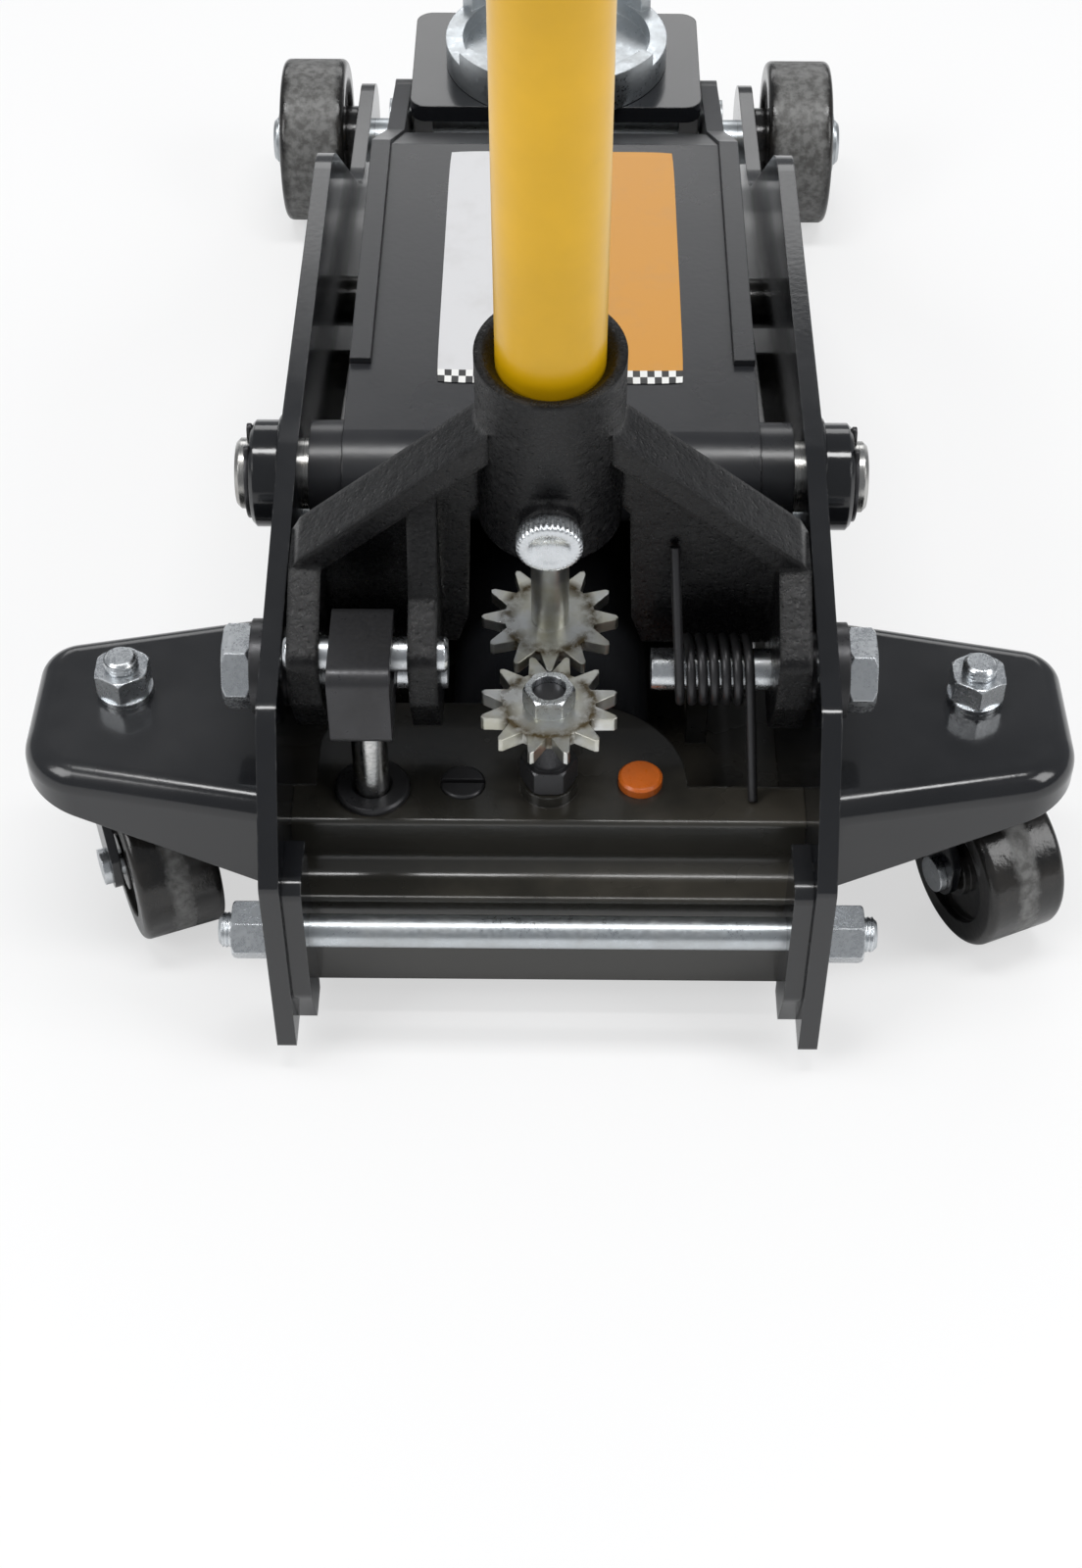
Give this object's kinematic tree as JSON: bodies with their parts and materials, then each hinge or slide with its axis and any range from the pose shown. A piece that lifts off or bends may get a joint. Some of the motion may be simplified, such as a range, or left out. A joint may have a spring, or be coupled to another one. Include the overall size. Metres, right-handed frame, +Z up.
{
  "type": "hydraulic trolley jack",
  "caption": "Long trolley jack with a tilting handle in a cast socket, geared release valve, hydraulic pump, lift arm with level saddle, front wheels and swivel casters.",
  "frame": {"origin": "centre of the bounding box on the floor, under the wheels", "axes": "+X to the right seen from the handle end, +Y towards the front wheels and saddle, +Z up"},
  "size_m": [0.3866, 0.6813, 1.2228],
  "materials": {
    "black_paint": "gloss",
    "arm_paint": "satin",
    "socket_casting": "rough",
    "block_paint": "satin",
    "handle_paint": "gloss",
    "zinc": "satin",
    "yellow_zinc": "satin",
    "bright_steel": "polished",
    "oiled_steel": "satin",
    "spring_steel": "satin",
    "wheel_iron": "satin",
    "grip_rubber": "matte",
    "cap_plastic": "matte",
    "plug_plastic": "gloss"
  },
  "bodies": {
    "frame": {"side_plate_left": "black_paint", "side_plate_right": "black_paint", "tail_doublers": "black_paint", "outrigger_left": "black_paint", "outrigger_right": "black_paint", "rear_tie_rod": "zinc", "tie_rod_nuts": "zinc", "cross_members": "black_paint", "front_axle": "zinc", "axle_clips": "zinc", "lift_shaft": "bright_steel", "lift_shaft_bosses": "black_paint", "lift_shaft_rings": "oiled_steel", "pivot_bolts": "zinc", "pivot_washers": "oiled_steel", "pump_block": "block_paint", "reservoir_tube": "black_paint", "ram_cylinder": "oiled_steel", "cylinder_gland": "oiled_steel", "plunger_gland": "oiled_steel", "filler_plug": "plug_plastic", "slotted_plugs": "oiled_steel", "caster_studs": "zinc", "caster_races": "black_paint", "caster_nuts": "zinc", "caster_washers": "zinc", "leveling_rear_pins": "zinc", "torsion_spring": "spring_steel"},
    "socket": {"handle_socket": "socket_casting", "plunger_pin": "zinc"},
    "thumb_screw": {"thumb_screw": "zinc"},
    "handle": {"handle_lower_tube": "handle_paint", "handle_upper_tube": "handle_paint", "handle_grip": "grip_rubber", "handle_end_cap": "cap_plastic", "upper_gear": "yellow_zinc"},
    "valve": {"lower_gear": "yellow_zinc", "gear_nut": "zinc", "release_valve": "oiled_steel"},
    "plunger": {"plunger_head": "oiled_steel", "plunger_rod": "bright_steel"},
    "lift_arm": {"lift_arm_cheeks": "arm_paint", "lift_arm_hub": "arm_paint", "lift_arm_cover": "arm_paint", "lift_arm_pins": "zinc"},
    "saddle_bracket": {"saddle_bracket": "black_paint", "leveling_front_pins": "zinc"},
    "saddle_pad": {"saddle_pad": "oiled_steel"},
    "leveling_links": {"leveling_links": "black_paint"},
    "ram": {"ram_rod": "bright_steel", "ram_crosshead": "block_paint", "ram_pull_plates": "block_paint"},
    "front_wheel_left": {"front_wheel_left": "wheel_iron"},
    "front_wheel_right": {"front_wheel_right": "wheel_iron"},
    "caster_left": {"caster_fork_left": "black_paint", "caster_axle_left": "zinc"},
    "caster_right": {"caster_fork_right": "black_paint", "caster_axle_right": "zinc"},
    "caster_wheel_left": {"caster_wheel_left": "wheel_iron"},
    "caster_wheel_right": {"caster_wheel_right": "wheel_iron"}
  },
  "joints": [
    {"name": "handle_tilt", "type": "hinge", "parent": "frame", "child": "socket", "pos_m": [0, -0.17905, 0.1292], "axis": [1, 0, 0], "range_deg": [0, 55], "stiffness_Nm_per_rad": 11.5, "springref_deg": -20.05, "deforming": ["torsion_spring"]},
    {"name": "plunger_slide", "type": "slide", "parent": "frame", "child": "plunger", "axis": [0, 0, 1], "range_m": [-0.0302, 0]},
    {"name": "handle_twist", "type": "hinge", "parent": "socket", "child": "handle", "pos_m": [0, -0.15828, 0.1323], "axis": [0, -0.1478, 0.989], "range_deg": [0, 180]},
    {"name": "valve_turn", "type": "hinge", "parent": "frame", "child": "valve", "pos_m": [0, -0.20005, 0.1], "axis": [0, 0, 1], "range_deg": [-180, 0]},
    {"name": "thumb_screw_turn", "type": "hinge", "parent": "socket", "child": "thumb_screw", "pos_m": [0, -0.20019, 0.21047], "axis": [0, -0.989, -0.1478], "continuous": true},
    {"name": "lift_arm_raise", "type": "hinge", "parent": "frame", "child": "lift_arm", "pos_m": [0, -0.09035, 0.144], "axis": [1, 0, 0], "range_deg": [0, 70]},
    {"name": "leveling_swing", "type": "hinge", "parent": "frame", "child": "leveling_links", "pos_m": [0, -0.07435, 0.106], "axis": [1, 0, 0], "range_deg": [0, 70]},
    {"name": "saddle_level", "type": "hinge", "parent": "lift_arm", "child": "saddle_bracket", "pos_m": [0, 0.24499, 0.08788], "axis": [1, 0, 0], "range_deg": [-70, 0]},
    {"name": "saddle_swivel", "type": "hinge", "parent": "saddle_bracket", "child": "saddle_pad", "pos_m": [0, 0.24499, 0.11788], "axis": [0, 0, 1], "continuous": true},
    {"name": "ram_slide", "type": "slide", "parent": "frame", "child": "ram", "axis": [0, 1, 0], "range_m": [0, 0.0804]},
    {"name": "front_wheel_left_spin", "type": "hinge", "parent": "frame", "child": "front_wheel_left", "pos_m": [-0.122, 0.30065, 0.04], "axis": [1, 0, 0], "continuous": true},
    {"name": "caster_left_swivel", "type": "hinge", "parent": "frame", "child": "caster_left", "pos_m": [-0.1575, -0.15735, 0.08], "axis": [0, 0, 1], "continuous": true},
    {"name": "caster_left_spin", "type": "hinge", "parent": "caster_left", "child": "caster_wheel_left", "pos_m": [-0.14832, -0.18007, 0.0315], "axis": [0.9272, 0.3746, 0], "continuous": true},
    {"name": "front_wheel_right_spin", "type": "hinge", "parent": "frame", "child": "front_wheel_right", "pos_m": [0.122, 0.30065, 0.04], "axis": [1, 0, 0], "continuous": true},
    {"name": "caster_right_swivel", "type": "hinge", "parent": "frame", "child": "caster_right", "pos_m": [0.1575, -0.15735, 0.08], "axis": [0, 0, 1], "continuous": true},
    {"name": "caster_right_spin", "type": "hinge", "parent": "caster_right", "child": "caster_wheel_right", "pos_m": [0.16747, -0.17973, 0.0315], "axis": [0.9135, 0.4067, 0], "continuous": true}
  ],
  "couplings": [
    {"joint": "plunger_slide", "follows": "handle_tilt", "m_per_rad": -0.031379},
    {"joint": "valve_turn", "follows": "handle_twist", "ratio": -1},
    {"joint": "leveling_swing", "follows": "lift_arm_raise", "ratio": 1},
    {"joint": "saddle_level", "follows": "lift_arm_raise", "ratio": -1},
    {"joint": "ram_slide", "follows": "lift_arm_raise", "m_per_rad": 0.065727}
  ]
}
